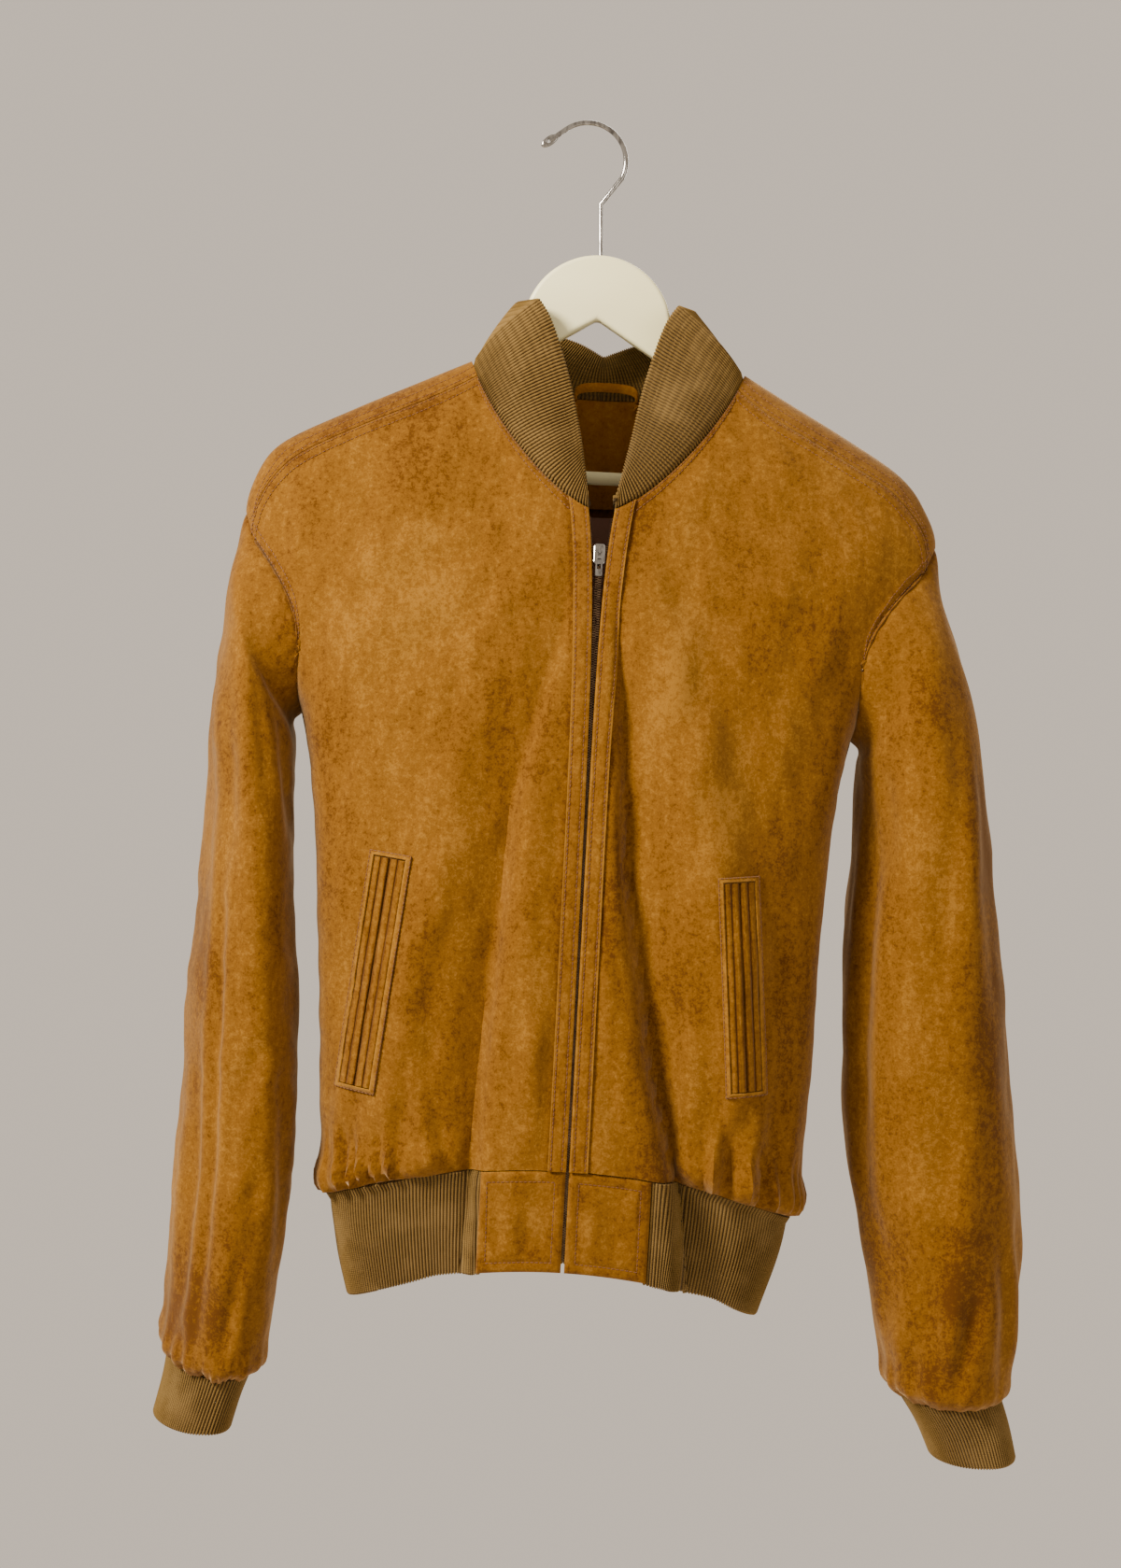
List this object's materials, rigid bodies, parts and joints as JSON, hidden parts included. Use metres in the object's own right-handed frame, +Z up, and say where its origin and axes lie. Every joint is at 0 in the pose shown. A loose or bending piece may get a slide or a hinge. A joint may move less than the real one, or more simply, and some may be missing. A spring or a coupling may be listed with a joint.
{
  "type": "suede jacket on a coat hanger",
  "caption": "Suede bomber jacket with rib-knit collar, cuffs and waistband, zipped shut and hanging on a shaped wooden hanger with a wire hook.",
  "frame": {"origin": "inside top of the hanger's hook, where a rail carries it", "axes": "+Z up, -Y towards someone facing the zip, +X to their right; the zip, the sleeves and the hook all hang below +Z"},
  "size_m": [0.6228, 0.1693, 0.9574],
  "materials": {
    "suede": "golden brown suede with a soft nap",
    "lining": "satin lining",
    "rib_knit": "olive tan rib knit",
    "zip_tape": "woven tape",
    "zip_teeth": "darkened brass",
    "bright_metal": "polished",
    "painted_wood": "cream paint on wood"
  },
  "bodies": {
    "jacket": {"hanger_body": "painted_wood", "hanger_bar": "painted_wood", "front_left": "suede", "placket_left": "suede", "sleeve_left": "suede", "cuff_left": "rib_knit", "waist_tab_left": "suede", "front_right": "suede", "placket_right": "suede", "sleeve_right": "suede", "cuff_right": "rib_knit", "waist_tab_right": "suede", "pocket_left_inner_lip": "suede", "pocket_left_outer_lip": "suede", "pocket_right_inner_lip": "suede", "pocket_right_outer_lip": "suede", "back": "suede", "neck_facing": "suede", "back_lining": "lining", "collar": "rib_knit", "waist_rib": "rib_knit", "hang_loop": "suede", "zip_tape_right": "zip_tape", "zip_tape_left": "zip_tape", "zip_teeth": "zip_teeth", "zip_slider": "bright_metal", "hanger_hook": "bright_metal"},
    "zip_pull": {"zip_pull": "bright_metal"}
  },
  "joints": [
    {"name": "zip_pull_swing", "type": "hinge", "parent": "jacket", "child": "zip_pull", "pos_m": [0.00562, -0.06456, -0.31139], "axis": [-0.9986, 0, 0.0523], "range_deg": [0, 150]}
  ]
}
